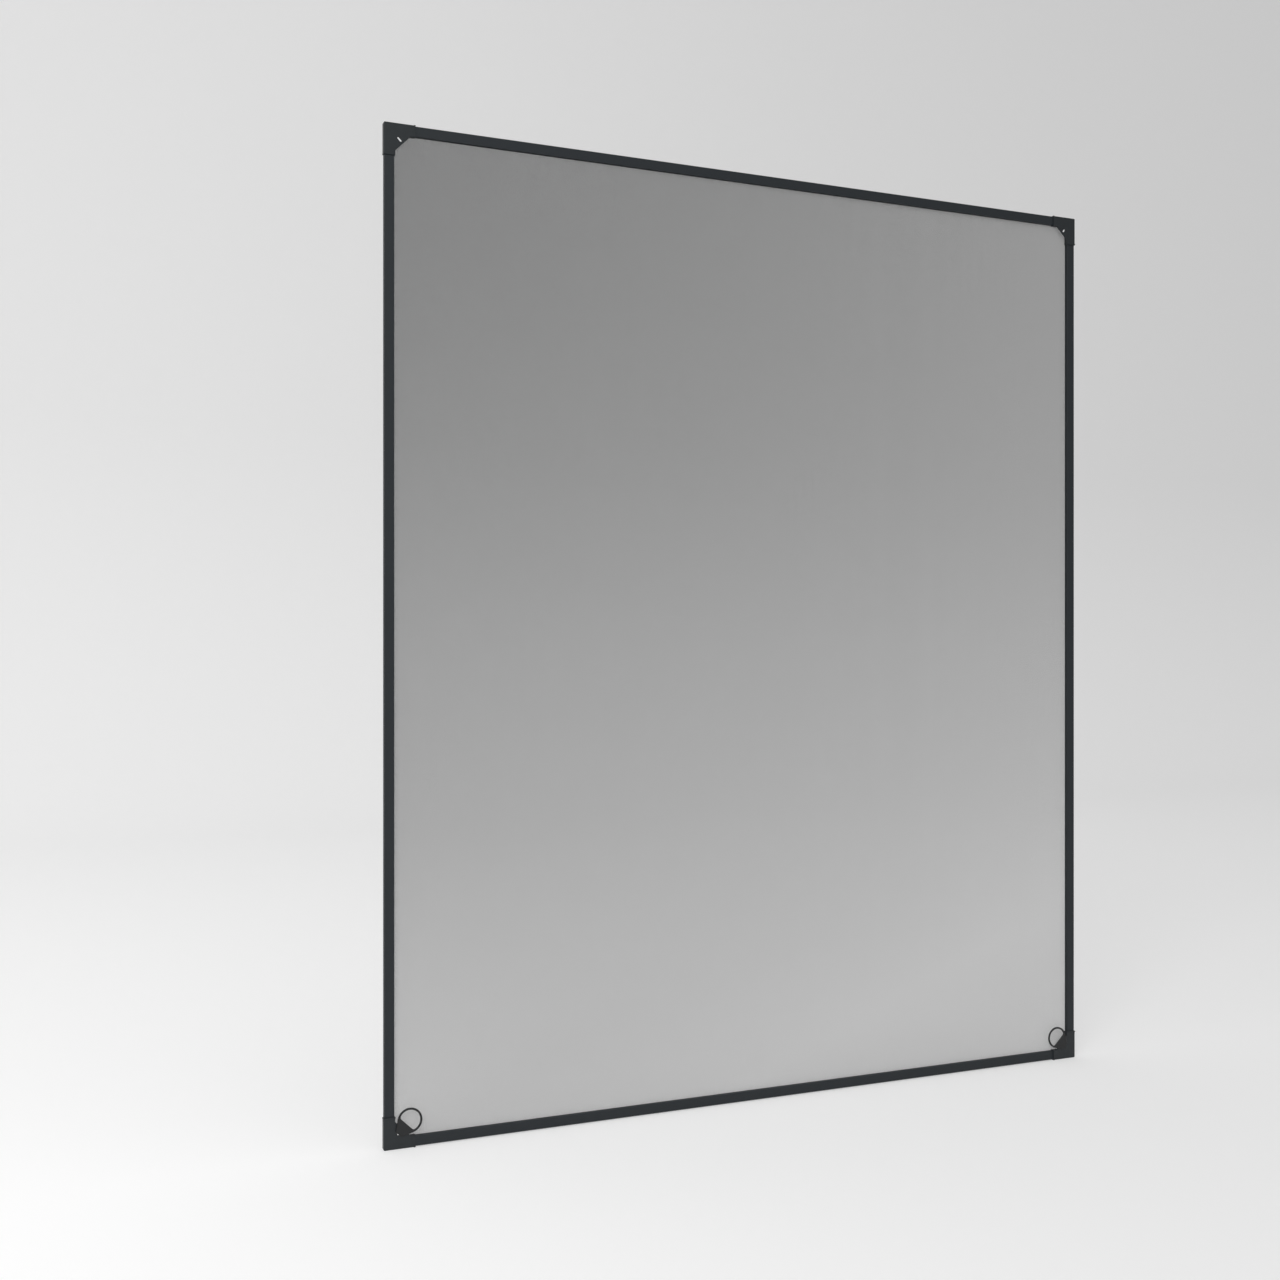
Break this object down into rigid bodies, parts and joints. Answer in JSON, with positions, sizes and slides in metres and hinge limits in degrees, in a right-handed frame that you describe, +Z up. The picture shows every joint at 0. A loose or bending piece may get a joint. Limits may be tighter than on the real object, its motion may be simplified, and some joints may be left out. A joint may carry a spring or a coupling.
{
  "type": "window screen frame",
  "caption": "Dark grey insect screen for a window: slim aluminium profiles, moulded corner pieces, splined mesh, magnetic strips at the back and two soft pull rings.",
  "frame": {"origin": "middle of the object's lower edge, halfway through its depth", "axes": "X to the right seen from the room, Y towards the window, Z up; the visible face looks along -Y"},
  "size_m": [1.0022, 0.0092, 1.2022],
  "materials": {
    "profile": "powder coated aluminium, fine texture, dark grey",
    "corner": "moulded polyamide, fine grain, dark grey",
    "ring": "soft moulded plastic, matt, near black",
    "spline": "extruded soft PVC cord, black",
    "magnet": "flexible ferrite strip, matt, dark brown",
    "mesh": "woven PVC-coated glass yarn, charcoal, see-through"
  },
  "bodies": {
    "root": {"left_stile": "profile", "top_rail": "profile", "right_stile": "profile", "bottom_rail": "profile", "corner_bottom_left": "corner", "corner_top_left": "corner", "corner_top_right": "corner", "corner_bottom_right": "corner", "insect_mesh": "mesh", "spline_left": "spline", "spline_top": "spline", "spline_right": "spline", "spline_bottom": "spline", "magnet_left": "magnet", "magnet_top": "magnet", "magnet_right": "magnet", "magnet_bottom": "magnet", "pull_ring_left": "ring", "pull_ring_right": "ring"}
  },
  "joints": []
}
